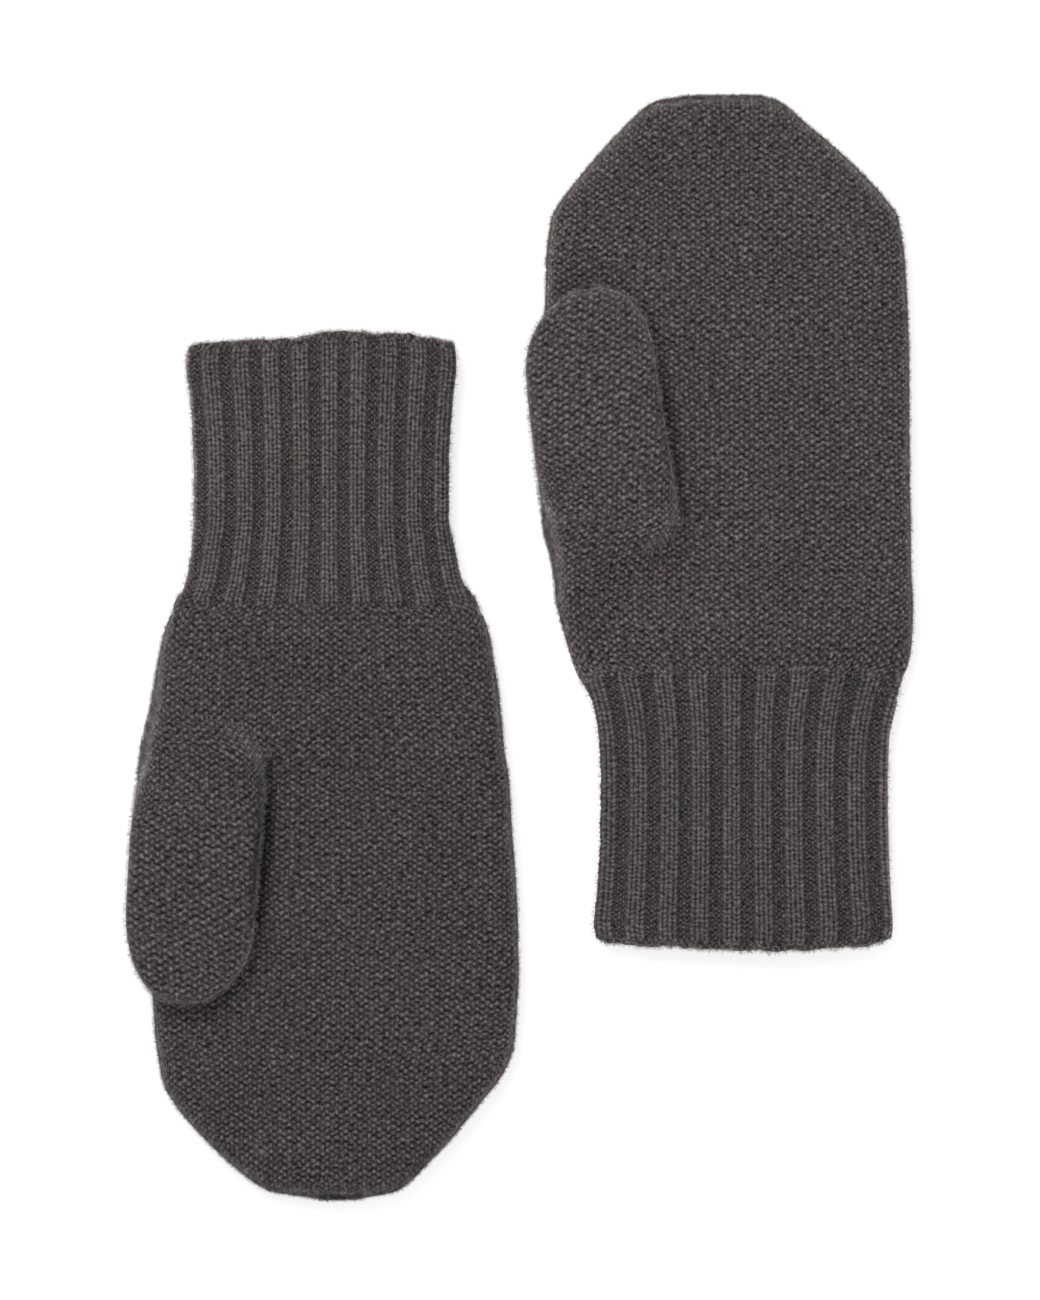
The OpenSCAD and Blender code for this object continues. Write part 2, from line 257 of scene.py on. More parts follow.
class Mitten:
    """Where one mitten lies, read from the frame, and the outlines that its forms share."""

    def __init__(self, side):
        self.name = side + "_"
        cuff, edge, tip, thumb = (
            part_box(self.name + node) for node in ("cuff", "cast_on_edge", "finger_front_panel", "thumb"))
        self.way, start, end = (1, 0, 1) if side == "left" else (-1, 1, 0)
        self.x0 = (cuff[0].x + cuff[1].x) / 2 / MM
        self.y0 = edge[start].y / MM
        self.scale = abs(tip[end].y / MM - self.y0) / LENGTH
        self.hand_t, self.cuff_t = tip[1].z / MM, edge[1].z / MM
        self.thumb_top = thumb[1].z / MM - 0.2
        self.thumb_mid = (thumb[0].z / MM + thumb[1].z / MM) / 2
        self.outline, self.thumb, self.cuff = OUTLINES[side], THUMBS[side], CUFFS[side]
        self.rib_end, self.crotch, self.thumb_end = self.cuff["end"], self.thumb["crotch"], self.thumb["end"]
        self.thumb_lean = math.radians(THUMB_LEAN[side])
        self.seed = 100 if side == "left" else 200

    def sides(self, y):
        """x of the hand's thumb side and little-finger side, a little wavy."""
        return [curve(self.outline[side], y) + 0.3 * soft_noise(y / 9, y * 0 + row, self.seed + more)
                for side, row, more in (("index", 0.5, 3), ("little", 3.5, 4))]

    def thumb_half(self, y):
        into_tip = np.clip(1 - (self.thumb_end - y) / self.thumb["tip"], 0, 1)
        return curve(self.thumb["half"], y) * np.maximum(0, 1 - into_tip ** 2.2) ** 0.5

    def thumb_x(self, y):
        return curve(self.thumb["middle"], y)

    def to_row(self, points):
        """Points in the mitten's frame, in millimetres, as row-frame points in metres."""
        x, y, z = np.moveaxis(np.array(points, float), -1, 0)
        return stack(x * self.scale + self.x0, y * self.scale * self.way + self.y0, z) * MM


# ---- meshes

def grid_normals(points, closed):
    """Unit normals of a grid of points, rows along the first axis."""
    if closed:
        wrapped = np.concatenate([points[:, -1:], points, points[:, :1]], axis=1)
        du = wrapped[:, 2:] - wrapped[:, :-2]
    else:
        du = np.gradient(points, axis=1)
    return unit(np.cross(du, np.gradient(points, axis=0)))


def add_object(name, data):
    obj = bpy.data.objects.new(name, data)
    bpy.context.scene.collection.objects.link(obj)
    return obj


def make_mesh(m, name, points, faces, uvs, relief, tone, material, nodes=()):
    """A smooth-shaded piece from points in metres, faces and one (wale, course) pair to each corner."""
    name = m.name + name
    mesh = bpy.data.meshes.new(name)
    sizes = np.array([f.shape[1] for f in faces for _ in range(len(f))], np.int32)
    corners = np.concatenate([f.ravel() for f in faces]).astype(np.int32)
    mesh.vertices.add(len(points))
    mesh.vertices.foreach_set("co", np.asarray(points, np.float32).ravel())
    mesh.loops.add(len(corners))
    mesh.loops.foreach_set("vertex_index", corners)
    mesh.polygons.add(len(sizes))
    mesh.polygons.foreach_set("loop_start", running(sizes[:-1]).astype(np.int32))
    mesh.polygons.foreach_set("use_smooth", np.ones(len(sizes), bool))
    layer = mesh.uv_layers.new(name="stitch")
    layer.data.foreach_set("uv", np.concatenate([u.reshape(-1, 2) for u in uvs]).astype(np.float32).ravel())
    for key, values in (("relief", relief), ("tone", tone)):
        data = mesh.attributes.new(key, "FLOAT", "POINT")
        data.data.foreach_set("value", np.asarray(values, np.float32).ravel())
    mesh.update(calc_edges=True)
    mesh.materials.append(material)
    obj = add_object(name, mesh)
    if nodes:
        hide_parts(*[m.name + node for node in nodes])
    return obj


def grid_part(w, c, closed, flip, first, turns):
    """Quads of a grid, with the wale and course at each of their corners.

    A closed grid joins its last column to its first, whose wale number is higher by turns there.
    """
    rows, cols = w.shape
    i = np.arange(cols if closed else cols - 1)
    nxt = (i + 1) % cols
    row = np.arange(rows - 1)[:, None] * cols
    quads = stack(row + i, row + nxt, row + cols + nxt, row + cols + i)
    wrap = np.where(nxt < i, turns, 0.0)[:, None] * [0, 1, 1, 0]
    uv = stack(w.ravel()[quads] + wrap, c.ravel()[quads]).reshape(-1, 4, 2)
    quads = quads.reshape(-1, 4)
    if flip:
        quads, uv = quads[:, ::-1], uv[:, ::-1]
    return quads + first, uv


def lining_of(form, normals, closed, thickness):
    """The fabric's inner side. A rim, where normals are unsure, uses those of a near row."""
    inward = normals.copy()
    inward[0], inward[-1] = normals[3], normals[-4]
    if not closed:
        inward[:, 0], inward[:, -1] = inward[:, 3], inward[:, -4]
    return form - inward * thickness


def rim_faces(rows, cols, rr, cc, closed, flip):
    """Faces from a shell's rims to its coarser lining, in groups by their number of corners."""
    fine = np.arange(rows * cols).reshape(rows, cols)
    coarse = np.arange(len(rr) * len(cc)).reshape(len(rr), len(cc)) + rows * cols
    if closed:
        fine, coarse = (np.append(ids, ids[:, :1], axis=1) for ids in (fine, coarse))
        rims = [(fine, coarse, np.append(cc, cols), (True, False))]
    else:
        rims = [(fine, coarse, cc, (True, False)), (fine.T, coarse.T, rr, (False, True))]
    faces = []
    for outer, inner, steps, turns in rims:
        for at, turned in zip((0, -1), turns):
            for k, (first, last) in enumerate(zip(steps[:-1], steps[1:])):
                face = [*outer[at, first:last + 1], inner[at, k + 1], inner[at, k]]
                faces.append(face[::-1] if turned == flip else face)
    sizes = sorted({len(face) for face in faces})
    return [np.array([face for face in faces if len(face) == size]) for size in sizes]


def knitted(m, name, nodes, form, height, w, c, relief, material, closed=False, turns=0, fade=1.0, tone=1.0,
            lining=FABRIC_T, lift=0.0, rims=True):
    """A closed knitted shell: the form lifted along its normals by the yarn's height, and a plain lining.

    form is a grid of points and height goes from 0 to 1. rims makes the stitches lower where the fabric
    turns edge-on.
    """
    height, w, c = np.broadcast_arrays(height, w, c)
    normals = grid_normals(form, closed)
    flat = np.abs(normals[..., 2])
    calm = 0.4 + 0.6 * smooth((flat - 0.2) / 0.5) if rims else 1.0
    rise = (height - MEAN_HEIGHT) * relief * calm + lift
    outer = form + normals * rise[..., None]

    rows, cols = form.shape[:2]
    rr = np.unique(np.append(np.arange(0, rows, STEPS_C), rows - 1))
    cc = np.arange(0, cols, STEPS_W)
    if not closed:
        cc = np.unique(np.append(cc, cols - 1))
    coarse = np.ix_(rr, cc)
    inner = lining_of(form, normals, closed, lining)[coarse]
    flip = m.way < 0
    quads, uv = grid_part(w, c, closed, flip, 0, turns)
    inner_quads, inner_uv = grid_part(w[coarse], c[coarse], closed, not flip, rows * cols, turns)
    groups = rim_faces(rows, cols, rr, cc, closed, flip)
    stitch = stack(np.append(w, w[coarse]), np.append(c, c[coarse]))

    # Painted sheen: the fabric is painted up to 2.5 times paler where it turns edge-on, standing in for the
    # light its fuzz catches there.
    tone = tone * (1 + np.minimum(RIM_PAINTED_SHEEN_MOST, RIM_PAINTED_SHEEN * (1 - flat)**3))
    each = np.ones((rows, cols))
    relief = np.append(each * fade * calm, np.full(rr.size * cc.size, LINING_RELIEF))
    tone = np.append(each * tone, np.full(rr.size * cc.size, LINING_TONE))
    points = m.to_row(np.concatenate([outer.reshape(-1, 3), inner.reshape(-1, 3)]))
    obj = make_mesh(m, name, points, [quads, inner_quads, *groups],
                    [uv, inner_uv, *(stitch[group] for group in groups)], relief, tone, material, nodes)
    obj["outer_points"] = rows * cols
    obj["flat_size"] = flat_size(form, closed)
    return obj


def flat_size(form, closed):
    """Width, length and area of a knitted form laid out flat, in metres, without its relief."""
    ring = np.concatenate([form, form[:, :1]], axis=1) if closed else form
    widths = np.linalg.norm(np.diff(ring, axis=1), axis=2).sum(axis=1)
    steps = np.linalg.norm(np.diff(ring, axis=0), axis=2)
    length = float(steps[:, steps.shape[1] // 2].sum())
    area = float(((widths[1:] + widths[:-1]) / 2 * steps.mean(axis=1)).sum())
    width = float(widths.max())
    return [width * MM, length * MM, min(area, width * length) * MM * MM]


# ---- materials

def fill(node, **values):
    """Set a node's inputs by their names, with _ for a space."""
    for key, value in values.items():
        node.inputs[key.replace("_", " ")].default_value = value


class Graph:
    """Short ways to add shader nodes."""

    def __init__(self, name):
        self.mat = bpy.data.materials.new(name)
        self.mat.use_nodes = True
        self.tree = self.mat.node_tree
        self.tree.nodes.clear()
        out = self.tree.nodes.new("ShaderNodeOutputMaterial")
        self.shader = self.tree.nodes.new("ShaderNodeBsdfPrincipled")
        self.put(self.shader.outputs["BSDF"], out.inputs["Surface"])

    def put(self, value, socket):
        if isinstance(value, bpy.types.NodeSocket):
            self.tree.links.new(value, socket)
        else:
            socket.default_value = value

    def node(self, kind, inputs, output=0, **settings):
        """Add a node with its inputs and settings, and return one of its outputs."""
        node = self.tree.nodes.new("ShaderNode" + kind)
        for key, value in settings.items():
            setattr(node, key, value)
        for key, value in inputs.items():
            self.put(value, node.inputs[key])
        return node.outputs[output]

    def math(self, operation, a, b=0.0, clamp=False):
        return self.node("Math", {0: a, 1: b}, operation=operation, use_clamp=clamp)

    def add(self, a, b):
        return self.math("ADD", a, b)

    def times(self, a, b):
        return self.math("MULTIPLY", a, b)

    def power(self, a, b):
        return self.math("POWER", a, b)

    def apart(self, x):
        return self.times(self.math("PINGPONG", x, 0.5), 2.0)

    def noise(self, vector, scale, detail=2.0, distortion=0.0):
        return self.node("TexNoise", {"Vector": vector, "Scale": scale, "Detail": detail,
                                      "Distortion": distortion}, "Fac")

    def span(self, value, low, high, to_low, to_high):
        return self.node("MapRange", {"Value": value, "From Min": low, "From Max": high,
                                      "To Min": to_low, "To Max": to_high}, "Result")

    def attribute(self, name):
        return self.node("Attribute", {}, "Fac", attribute_name=name)

    def mix(self, blend, factor, a, b):
        return self.node("Mix", {0: factor, 6: a, 7: b}, 2, data_type="RGBA", blend_type=blend)

    def ramp(self, value, *stops):
        """The colour at value on a ramp through (position, colour) stops."""
        node = self.tree.nodes.new("ShaderNodeValToRGB")
        elements = node.color_ramp.elements
        for position, _ in stops[1:-1]:
            elements.new(position)
        for element, (position, color) in zip(elements, stops):
            element.position, element.color = position, color
        self.put(value, node.inputs["Fac"])
        return node.outputs["Color"]


FIBRE_DARK = (0.06, 0.054, 0.053, 1)
FIBRE_LIGHT = (0.2, 0.183, 0.18, 1)
# The yarn's colour by the yarn's height: painted shade in the gaps between the loops, the wool's own colour
# halfway, and painted light on the loops' tops.
PAINTED_GAP_SHADE = (0.005, 0.0044, 0.0043, 1)
MIDDLE = (0.0495, 0.0434, 0.0425, 1)
PAINTED_TOP_LIGHT = (0.128, 0.1145, 0.112, 1)
WARM = (1.03, 0.995, 0.985, 1)
COOL = (0.985, 1.0, 1.01, 1)
SHEEN = (0.8, 0.77, 0.76, 1)
PLAIN_HEIGHT = 0.75  # the height that sets the colour of a plain yarn
FADED_HEIGHT = 0.76  # and that of the fabric where its stitches die out


def shader_purl(g, w, c):
    """The same wavy yarns as purl_height, as nodes."""
    turn = g.times(w, 2 * np.pi)
    away = g.apart(g.add(c, g.times(g.math("COSINE", turn), -WAVE)))
    dip = g.power(g.math("SINE", turn), 2.0)
    gap = g.times(g.power(away, 1.7), g.add(g.times(dip, -JOIN), 1.0))
    return g.math("SUBTRACT", 1.0, g.add(gap, g.times(dip, DIP)), clamp=True)


def shader_knit(g, w, c):
    """The same legs as knit_height, as nodes."""
    a = g.apart(g.add(g.times(w, 2.0), 0.5))
    slant = g.add(c, g.times(g.apart(w), 0.45))
    dip = g.add(g.times(g.power(a, 2.0), 0.6), g.times(g.power(g.apart(slant), 2.0), 0.36))
    return g.math("SUBTRACT", 1.0, dip, clamp=True)


def rib_height(g, w, c):
    """Two knit wales and two purl ones by turns, as nodes."""
    in_rib = g.math("MODULO", w, float(WALES_PER_RIB))
    is_knit = g.span(g.apart(g.times(g.add(w, -1.0), 1.0 / WALES_PER_RIB)), 0.46, 0.54, 1.0, 0.0)
    knit, purl = shader_knit(g, in_rib, c), g.times(shader_purl(g, in_rib, c), PURL_IN_RIB)
    return g.add(g.times(knit, is_knit), g.times(purl, g.math("SUBTRACT", 1.0, is_knit)))


def wool_color_and_painted_light(g, height, loops, strands, clouds, fuzz, tint):
    """Painted shade between the loops and painted light on their tops, mottled like spun fibre, times the
    tone attribute's painted light and shade.
    """
    level = g.add(height, g.span(loops, 0.3, 0.7, -0.3, 0.3))
    level = g.add(level, g.span(strands, 0.3, 0.7, -0.24, 0.24))
    # Painted shade in the gaps between the loops and painted light on their tops.
    base = g.ramp(g.times(level, 0.86), (0.03, PAINTED_GAP_SHADE), (0.62, MIDDLE), (1.0, PAINTED_TOP_LIGHT))
    shade = g.times(g.span(clouds, 0.3, 0.7, 0.92, 1.08), g.span(fuzz, 0.25, 0.75, 0.68, 1.32))
    color = g.mix("MULTIPLY", 1.0, base, g.times(shade, g.attribute("tone")))
    warm = g.mix("MIX", g.span(tint, 0.35, 0.65, 0.0, 1.0), WARM, COOL)
    return g.mix("MULTIPLY", 1.0, color, warm)


def wool_material(name, height_of=None):
    """Carded wool, with fine hairs in the bump. height_of gives the stitches, and None a plain yarn."""
    g = Graph(name)
    place = g.node("UVMap", {}, "UV", uv_map="stitch")
    coords = g.node("TexCoord", {}, "Object")
    height = PLAIN_HEIGHT
    if height_of:
        parts = g.node("SeparateXYZ", {0: place}).node
        height = height_of(g, parts.outputs["X"], parts.outputs["Y"])
        height = g.add(g.times(g.add(height, -FADED_HEIGHT), g.attribute("relief")), FADED_HEIGHT)

    streak = g.node("VectorMath", {0: place, 1: (5.0, 13.0, 1.0)}, operation="MULTIPLY")
    strands = g.noise(streak, 1.0, 3.0, 0.6)
    fuzz = g.noise(coords, 2300.0, 4.0, 1.2)
    color = wool_color_and_painted_light(g, height, g.noise(place, 1.5, 1.5), strands, g.noise(coords, 55.0), fuzz,
                       g.noise(coords, 90.0, 1.0))
    g.put(color, g.shader.inputs["Base Color"])

    hairs = g.add(g.times(fuzz, 0.5), g.times(strands, 0.6))
    level = g.add(hairs, g.times(height, 0.8)) if height_of else hairs
    bump = g.node("Bump", {"Strength": 0.55, "Distance": 0.0004, "Height": level}, "Normal")
    g.put(bump, g.shader.inputs["Normal"])
    fill(g.shader, Roughness=0.95, Specular_IOR_Level=0.1, Sheen_Weight=0.22, Sheen_Roughness=0.3,
         Sheen_Tint=SHEEN)
    return g.mat


def fibre_material(name):
    """Single fibres: paler than the yarn, because light passes through them."""
    g = Graph(name)
    coords = g.node("TexCoord", {}, "Object")
    g.put(g.ramp(g.noise(coords, 420.0, 1.0), (0.35, FIBRE_DARK), (0.65, FIBRE_LIGHT)),
          g.shader.inputs["Base Color"])
    fill(g.shader, Roughness=0.8, Specular_IOR_Level=0.2)
    return g.mat


WOOL = wool_material("knitted_wool", shader_purl)
RIB_WOOL = wool_material("ribbed_wool", rib_height)
YARN = wool_material("linking_yarn")
FIBRES = fibre_material("loose_fibres")


# ---- the hand

EDGE_R = 6.5  # how far in from an edge the fabric is still rounding over
HAND_W = 112.0  # the hand's usual width
SHAPING_Y = 226.0  # where the fingertips' shaping starts
CUFF_UNDER = 1.5  # how far the cuff's form lies under its ribs' tops, and its back over the table
CUFF_BACK_Z = 1.6
PALM_CROWN = 1.3  # how much higher the palm is in its middle
XI = -np.cos(np.linspace(0, np.pi, 601))  # places across a row, from -1 to 1


def edge_slant(m, y):
    """Cosines that turn distances along a row into distances square to each side."""
    return [1 / np.sqrt(1 + (x1 - x0) ** 2) for x0, x1 in zip(m.sides(y - 0.5), m.sides(y + 0.5))]


def even_rows(y0, y1, rise_of, step):
    """Rows at equal steps along the line (y, rise_of(y)), and the distance to each row."""
    y = y0 + (y1 - y0) * np.sin(np.linspace(0, 1, 4000) * np.pi / 2)
    run = run_of(y, rise_of(y))
    at = np.linspace(0, run[-1], int(round(run[-1] / step)) + 1)
    return np.interp(at, run, y), at


def even_section(x, z, count):
    """The section line (x, z) at equal steps, and each point's distance along it from x = 0."""
    run = run_of(x, z)
    at = np.linspace(0, run[-1], count + 1)
    mid = np.interp(0, x if x[0] < x[-1] else -x, run)
    return np.interp(at, run, x), np.interp(at, run, z), at - mid


def cuff_bulge(xi):
    """How high the cuff's section is at xi, from -1 to 1 across it, as a share of its middle."""
    return np.maximum(0, 1 - np.abs(xi) ** 2.6) ** 0.45


def cuff_top(m, x, y):
    """Height of the cuff's front under the point (x, y), without its ribs."""
    lo, hi = curve(m.cuff["index"], y), curve(m.cuff["little"], y)
    xi = np.clip((x - (lo + hi) / 2) / ((hi - lo) / 2), -1, 1)
    return SEAM_Z + (m.cuff_t - CUFF_UNDER - SEAM_Z) * cuff_bulge(xi)


def rib_trace(m, x, y):
    """The ribs' heights, which die out just inside the hand."""
    ring_x, ring_z, share = cuff_ring(m, m.rib_end, 1200)
    front = ring_z > SEAM_Z
    order = np.argsort(ring_x[front])
    ridge = rib_ridge(rib_wales(share))[front][order]
    return 0.75 * np.interp(x, ring_x[front][order], ridge) * (1 - smooth((y - m.rib_end + 1) / 6.5))


def crease(m, x, y):
    """1 along the bottom of the fold between the thumb and the palm, 0 away from it. It sets where the palm
    dips and where painted shade darkens the fold.
    """
    inner = m.thumb_x(y) + m.thumb_half(np.minimum(y, m.thumb_end - 20))
    along = smooth((y - m.crotch + 4) / 9) * (1 - smooth((y - m.thumb_end + 40) / 26))
    return np.exp(-(((x - inner - 0.9) / 2.3) ** 2)) * along


def tip_fall(y):
    return rounded((TIP_Y - y) / (EDGE_R + 1))


def edge_fall(x, y, lo, hi, cos_lo, cos_hi):
    """1 well inside the hand, and 0 on its outline."""
    d_lo, d_hi = np.maximum(0, x - lo) * cos_lo, np.maximum(0, hi - x) * cos_hi
    return rounded(d_lo / EDGE_R) * rounded(d_hi / EDGE_R) * tip_fall(y)


def palm_z(m, x, y, lo, hi, cos_lo, cos_hi):
    """Height of the palm's face, with the gusset that rises to the thumb."""
    half = (hi - lo) / 2
    crown = m.hand_t - PALM_CROWN + PALM_CROWN * (1 - ((x - (lo + hi) / 2) / half) ** 2)
    rise = smooth((y - (m.crotch - 37)) / 37) * (1 - smooth((y - m.crotch - 1.0) / 5.0))
    inner = m.thumb_x(y) + m.thumb_half(np.minimum(y, m.crotch + 8))
    soft = 30 - 22 * smooth((y - m.crotch + 16) / 16)
    crown = crown + (m.thumb_top - crown) * rise * smooth((inner + 1.0 - x) / soft)
    crown = crown - m.thumb["crease"] * crease(m, x, y)
    z = SEAM_Z + (crown - SEAM_Z) * edge_fall(x, y, lo, hi, cos_lo, cos_hi)
    start = 1 - smooth((y - m.rib_end + 1) / 12)
    return z + (cuff_top(m, x, y) + 0.3 - z) * start + rib_trace(m, x, y)


def front_rows(m):
    """The hand's rows, evenly spaced over the rounded tip too, and the distance to each."""
    rise = lambda y: (m.hand_t - SEAM_Z) * tip_fall(y)
    return even_rows(m.rib_end - 0.9, TIP_Y, rise, COURSE / STEPS_C)


def wale_pitch(m, y):
    """Width of a stitch: the fabric spreads with the hand, but not where it is shaped off."""
    lo, hi = m.sides(np.minimum(y, SHAPING_Y))
    return WALE * np.clip((hi - lo) / HAND_W, 0.93, 1.05)


def section(m, z_of, y):
    """One side of the hand on the row y: x and height across it."""
    lo, hi = m.sides(y)
    x = (lo + hi) / 2 + (hi - lo) / 2 * XI
    return x, z_of(m, x, y, lo, hi, *edge_slant(m, y))


def hand_grid(m, z_of, count, backwards):
    """One side of the hand as a form, with the wale and course at each of its points."""
    ys, along = front_rows(m)
    form = np.empty((len(ys), count + 1, 3))
    w = np.empty((len(ys), count + 1))
    for j, y in enumerate(ys):
        y1 = y - m.cuff["corner"] * np.abs(XI) ** 6 * (1 - smooth((y - m.rib_end) / 14))
        x, z = section(m, z_of, y1)
        order = slice(None, None, -1 if backwards else 1)
        fx, fz, s = even_section(x[order], z[order], count)
        form[j] = stack(fx, np.interp(fx, x, y1), fz)
        w[j] = s / wale_pitch(m, y)
    lumps = 0.55 * soft_noise(form[..., 0] / 19 + 9, form[..., 1] / 24, m.seed + 21)
    lumps += 0.35 * soft_noise(form[..., 0] / 9 + 4, form[..., 1] / 12, m.seed + 22)
    inland = smooth((np.abs(form[..., 2] - SEAM_Z) - 1) / 5) * smooth((form[..., 1] - CUFF_L) / 15)
    form[..., 2] += lumps * inland * (0.5 if backwards else 1)
    return form, w, (along / COURSE)[:, None]


def edge_ease(form, reach):
    """0 on the first and last column, 1 a little way in: relief dies out at a seam."""
    across = np.cumsum(np.linalg.norm(np.diff(form, axis=1, prepend=form[:, :1]), axis=2), axis=1)
    along = np.clip(TIP_Y - form[..., 1], 0, 1e9)
    ease = smooth(across / reach) * smooth((across[:, -1:] - across) / reach)
    return ease * smooth((along + 0.3) / (reach * 0.25))


def hand_piece(m, name, z_of, wales, backwards, nodes):
    form, w, c = hand_grid(m, z_of, wales * STEPS_W, backwards)
    w, c = uneven(w, c, m.seed + (40 if backwards else 50))
    ease, tight = edge_ease(form, 3.0), edge_ease(form, 0.8)
    h = purl_height(w, c) * plump(w, c, m.seed)
    h = MEAN_HEIGHT + (h - MEAN_HEIGHT) * (0.6 + 0.4 * ease) * tight
    # Painted shade: the palm is painted darker along the fold beside the thumb, by more where the crease is
    # deeper.
    fold_shade = 0 if backwards else m.thumb["crease"] * crease(m, form[..., 0], form[..., 1])
    return knitted(m, name, nodes, form, h, w, c, RELIEF, WOOL, fade=0.7 + 0.3 * ease,
                   tone=m.thumb["tone"] * (1 - 0.3 * fold_shade))


def build_hand_front(m):
    return hand_piece(m, "palm_side", palm_z, PALM_WALES, False, ["palm_panel", "finger_front_panel"])


def back_z(m, x, y, lo, hi, cos_lo, cos_hi):
    return SEAM_Z - (SEAM_Z - BACK_Z) * edge_fall(x, y, lo, hi, cos_lo, cos_hi)


def build_hand_back(m):
    return hand_piece(m, "back_side", back_z, BACK_WALES, True, ["back_panel", "finger_back_panel"])


# ---- the thumb

def palm_row(m, y):
    """The palm's section on a row near the thumb: x, height and wale number along it."""
    y1 = min(y, m.crotch)
    fx, fz, s = even_section(*section(m, palm_z, y1), 600)
    return fx, fz, s / wale_pitch(m, y1)


def thumb_section(m, y, high):
    """One ring of the thumb, flattened towards its base: x from the middle line, and z."""
    angle = np.linspace(0, 2 * np.pi, 1441)
    cos, sin = np.cos(angle), np.sin(angle)
    half = max(m.thumb_half(y), 0.05)
    base = 1 - smooth((y - m.crotch) / 24)
    mid = m.thumb_mid + (THUMB_FLOOR - m.thumb_mid) * base
    up, down = (m.thumb_mid + high) - mid, high * (1 - 0.4 * base)
    px = -np.sign(cos) * np.abs(cos) ** 0.86 * half
    pz = np.where(sin > 0, up * np.abs(sin) ** (0.78 - 0.22 * base), -down * np.abs(sin) ** 0.8)
    run = run_of(px, pz)
    return px, pz, run, mid, np.interp(np.pi / 2, angle, run)


def thumb_grid(m):
    """The thumb's form, with the wale and course at each of its points."""
    start, end = m.crotch - 4.0, m.thumb_end
    thick = lambda y: (m.thumb_top - m.thumb_mid) * rounded((end - y) / 10.0) ** 0.9
    ys, along = even_rows(start, end, thick, THUMB_COURSE / STEPS_C)
    count = THUMB_WALES * STEPS_W
    form, w = np.empty((len(ys), count, 3)), np.empty((len(ys), count))
    for j, y in enumerate(ys):
        px, pz, run, mid, crown = thumb_section(m, y, max(thick(y), 0.05))
        u = np.arange(count) / count * run[-1]
        turn = m.thumb_lean * smooth((y - m.crotch - 4) / 34)
        gx, gz = np.interp(u, run, px), np.interp(u, run, pz)
        x = m.thumb_x(y) + gx * math.cos(turn)
        fx, fz, fw = palm_row(m, y)
        joined = 1 - smooth((y - m.crotch + 0.5) / 9)
        front = smooth(gz / 3.0)
        z = mid + gz
        z = z + (np.interp(x, fx, fz) - z) * joined * front
        form[j] = stack(x, y + gx * math.sin(turn), z - 0.5 * smooth((m.crotch - 0.6 - y) / 3.0))
        pitch = wale_pitch(m, y) + (THUMB_WALE - WALE) * smooth((y - m.crotch - 4) / 25)
        own = (u - crown) / pitch + np.interp(m.thumb_x(y), fx, fw)
        fixed = (1 - smooth((y - m.crotch) / 22)) * front
        w[j] = own + (np.interp(x, fx, fw) - own) * fixed
    front_y, front_along = front_rows(m)
    c0 = np.interp(start, front_y, front_along) / COURSE
    course = COURSE + (THUMB_COURSE - COURSE) * smooth((ys - m.crotch - 4) / 20)
    c = c0 + running(np.diff(along) / course[1:])
    return form, w, c[:, None], ys[:, None]


def thumb_tone_and_shade(m, side, ys):
    """The thumb is a little paler than the palm, with painted shade down in the fold beside it, on top of the
    mitten's painted light.
    """
    # Painted shade: the thumb's inner side is painted darker down in the fold, by more where the crease is
    # deeper.
    painted_fold_shade = smooth((side - 0.8) / 0.16) * (
        smooth((ys - m.crotch) / 8) * (1 - smooth((ys - m.thumb_end + 40) / 26)))
    paler = 1 + 0.05 * smooth((ys - m.crotch) / 30)
    return m.thumb["tone"] * paler * (1 - 0.36 * m.thumb["crease"] * painted_fold_shade)


def build_thumb(m):
    """The thumb's tube. side says how far across it a point is, with 1 at its inner edge."""
    form, w, c, ys = thumb_grid(m)
    lumps = 0.4 * soft_noise(form[..., 0] / 11 + 3, form[..., 1] / 15, m.seed + 23)
    on_top = smooth((form[..., 2] - m.thumb_mid) / 3)
    form[..., 2] += lumps * smooth((ys - m.crotch - 4) / 12) * on_top
    w, c = uneven(w, c, m.seed + 50)
    h = purl_height(w, c) * plump(w, c, m.seed)
    side = (form[..., 0] - m.thumb_x(ys)) / np.maximum(m.thumb_half(ys), 1)
    ease = 1 - 0.5 * smooth((np.abs(side) - 0.82) / 0.18) * smooth((ys - m.crotch - 2) / 6)
    ease = ease * (1 - 0.4 * smooth((ys - (m.thumb_end - 4)) / 3))
    h = MEAN_HEIGHT + (h - MEAN_HEIGHT) * ease
    return knitted(m, "thumb_tube", ["thumb"], form, h, w, c, RELIEF, WOOL, closed=True, fade=ease,
                   tone=thumb_tone_and_shade(m, side, ys))


# ---- the cuff

KNIT_SHARE = 0.60  # how much of a rib's width its two knit wales take
CUFF_START = 1.4  # where the ribs start, behind the rolled edge
BAND_T = 0.7  # thickness of the rolled edge's shell


def cuff_ring(m, y, count):
    """Points round the cuff at equal steps, from the middle rib over the little-finger side."""
    lo, hi = curve(m.cuff["index"], y), curve(m.cuff["little"], y)
    mid, hw = (lo + hi) / 2, (hi - lo) / 2
    t = np.linspace(0, 1, 801)
    xi = np.sin((t - 0.5) * np.pi)
    shape = cuff_bulge(xi)
    x_front = mid + hw * xi
    z_front = SEAM_Z + (m.cuff_t - CUFF_UNDER - SEAM_Z) * shape
    z_back = SEAM_Z - (SEAM_Z - CUFF_BACK_Z) * np.minimum(1, 1.12 * shape)
    start = m.cuff["rib"]
    a = x_front >= start
    x = np.concatenate([[start], x_front[a], x_front[::-1][1:], x_front[1:][~a[1:]], [start]])
    middle = [np.interp(start, x_front, z_front)]
    z = np.concatenate([middle, z_front[a], z_back[::-1][1:], z_front[1:][~a[1:]], middle])
    run = run_of(x, z)
    u = np.arange(count) / count * run[-1]
    return np.interp(u, run, x), np.interp(u, run, z), u / run[-1]


